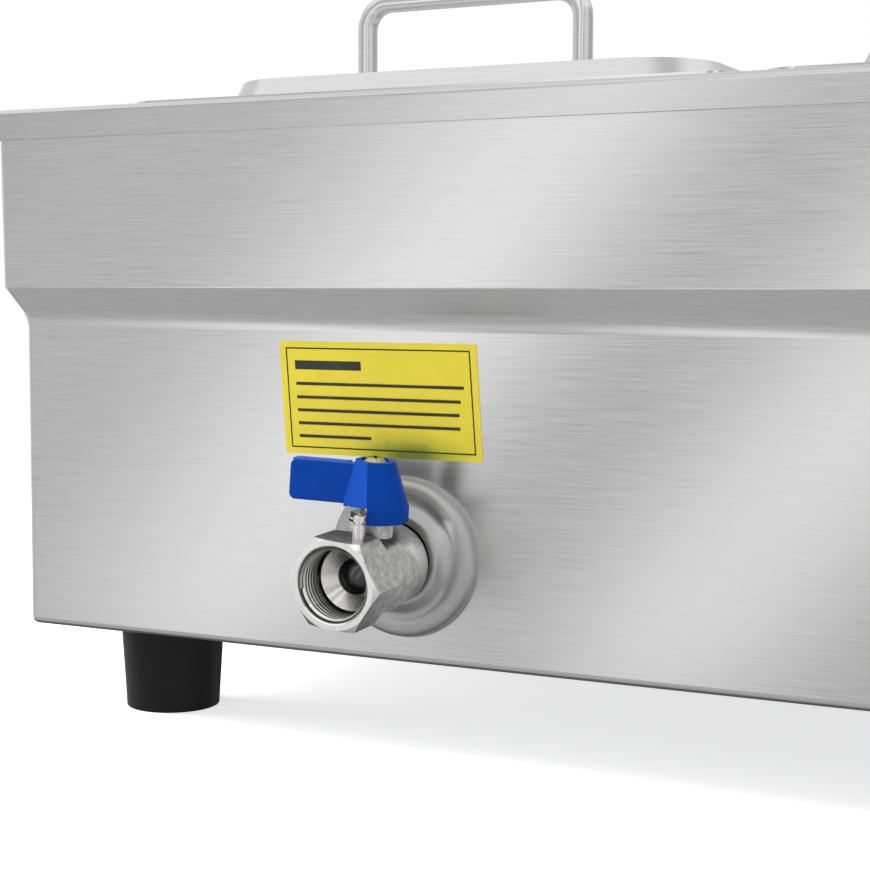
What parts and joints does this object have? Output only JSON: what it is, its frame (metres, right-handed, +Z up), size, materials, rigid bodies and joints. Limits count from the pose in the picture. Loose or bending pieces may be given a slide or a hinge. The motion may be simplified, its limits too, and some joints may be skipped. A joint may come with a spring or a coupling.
{
  "type": "bain-marie",
  "caption": "Electric countertop bain-marie: heated water bath with lift-out food pans under hinged lids, thermostat dial, power switch and a ball valve drain in front.",
  "frame": {"origin": "middle of the casing's footprint, in the plane that the feet stand on", "axes": "+X along the front towards the controls, +Y to the back, +Z up"},
  "size_m": [0.6066, 0.4215, 0.2978],
  "materials": {
    "casing_steel": "horizontal brushed grain",
    "deck_steel": "satin stainless",
    "plate_steel": "brushed stainless",
    "galvanised_sheet": "galvanised",
    "pan_steel": "bright stainless",
    "lid_steel": "polished stainless",
    "escutcheon_steel": "satin stainless",
    "cast_steel": "tumbled casting",
    "machined_steel": "machined",
    "fastener_steel": "zinc plated",
    "element_sheath": "annealed sheath",
    "brass_plain": "machined",
    "copper_plain": "drawn tube",
    "lever_blue": "moulded",
    "foot_rubber": "moulded",
    "silicone_red": "moulded",
    "seat_polymer": "machined",
    "black_plastic": "moulded",
    "knob_black": "moulded",
    "rocker_red": "moulded",
    "lens_green": "moulded",
    "lens_amber": "moulded",
    "ceramic_cream": "pressed",
    "label_yellow": "printed film"
  },
  "bodies": {
    "main_unit": {"outer_casing": "casing_steel", "base_plate": "galvanised_sheet", "base_screws": "fastener_steel", "feet": "foot_rubber", "foot_washers": "fastener_steel", "foot_screws": "fastener_steel", "foot_nuts": "fastener_steel", "water_tank": "deck_steel", "pan_support_bar": "deck_steel", "drain_pipe": "machined_steel", "escutcheon": "escutcheon_steel", "valve_body": "cast_steel", "valve_retainer": "machined_steel", "ball_seats": "seat_polymer", "stem_packing": "seat_polymer", "gland_nut": "machined_steel", "stop_pin": "machined_steel", "heating_element": "element_sheath", "element_bushings": "brass_plain", "element_gaskets": "silicone_red", "element_nuts": "brass_plain", "element_terminals": "ceramic_cream", "element_brackets": "deck_steel", "control_plate": "plate_steel", "panel_screws": "fastener_steel", "thermostat_body": "ceramic_cream", "thermostat_screws": "fastener_steel", "capillary_tube": "copper_plain", "thermostat_bulb": "copper_plain", "bulb_gland": "brass_plain", "bulb_clips": "deck_steel", "power_lamp": "lens_green", "heating_lamp": "lens_amber", "switch_housing": "black_plastic", "cord_gland": "black_plastic", "gland_dome_nut": "black_plastic", "gland_locknut": "black_plastic", "earth_terminal": "brass_plain", "terminal_block": "ceramic_cream", "terminal_screws": "brass_plain", "limit_thermostat": "black_plastic", "front_label": "label_yellow"},
    "drain_lever": {"valve_handle": "lever_blue", "handle_screw": "brass_plain", "valve_stem": "machined_steel", "valve_ball": "machined_steel"},
    "thermostat_dial": {"thermostat_knob": "knob_black", "thermostat_shaft": "machined_steel"},
    "power_rocker": {"switch_rocker": "rocker_red"},
    "left_food_pan": {"left_pan": "pan_steel"},
    "left_lid": {"left_lid_rear": "lid_steel", "left_lid_pin": "fastener_steel"},
    "left_flap": {"left_lid_flap": "lid_steel", "left_lid_handle": "lid_steel"},
    "right_food_pan": {"right_pan": "pan_steel"},
    "right_lid": {"right_lid_rear": "lid_steel", "right_lid_pin": "fastener_steel"},
    "right_flap": {"right_lid_flap": "lid_steel", "right_lid_handle": "lid_steel"}
  },
  "joints": [
    {"name": "drain_lever_turn", "type": "hinge", "parent": "main_unit", "child": "drain_lever", "pos_m": [-0.1198, -0.20166, 0.0759], "axis": [0.0976, -0.0521, 0.9939], "range_deg": [0, 90]},
    {"name": "thermostat_turn", "type": "hinge", "parent": "main_unit", "child": "thermostat_dial", "pos_m": [0.233, -0.1742, 0.1005], "axis": [0, 1, 0], "range_deg": [0, 300]},
    {"name": "power_switch_rock", "type": "hinge", "parent": "main_unit", "child": "power_rocker", "pos_m": [0.158, -0.171, 0.0805], "axis": [1, 0, 0], "range_deg": [0, 16]},
    {"name": "left_pan_lift", "type": "slide", "parent": "main_unit", "child": "left_food_pan", "axis": [0, 0, 1], "range_m": [0, 0.18]},
    {"name": "left_lid_lift", "type": "slide", "parent": "left_food_pan", "child": "left_lid", "axis": [0, 0, 1], "range_m": [0, 0.06]},
    {"name": "left_lid_hinge", "type": "hinge", "parent": "left_lid", "child": "left_flap", "pos_m": [-0.1325, 0.026, 0.2654], "axis": [-1, 0, 0], "range_deg": [0, 100]},
    {"name": "right_pan_lift", "type": "slide", "parent": "main_unit", "child": "right_food_pan", "axis": [0, 0, 1], "range_m": [0, 0.18]},
    {"name": "right_lid_lift", "type": "slide", "parent": "right_food_pan", "child": "right_lid", "axis": [0, 0, 1], "range_m": [0, 0.06]},
    {"name": "right_lid_hinge", "type": "hinge", "parent": "right_lid", "child": "right_flap", "pos_m": [0.1325, 0.026, 0.2654], "axis": [-1, 0, 0], "range_deg": [0, 100]}
  ]
}
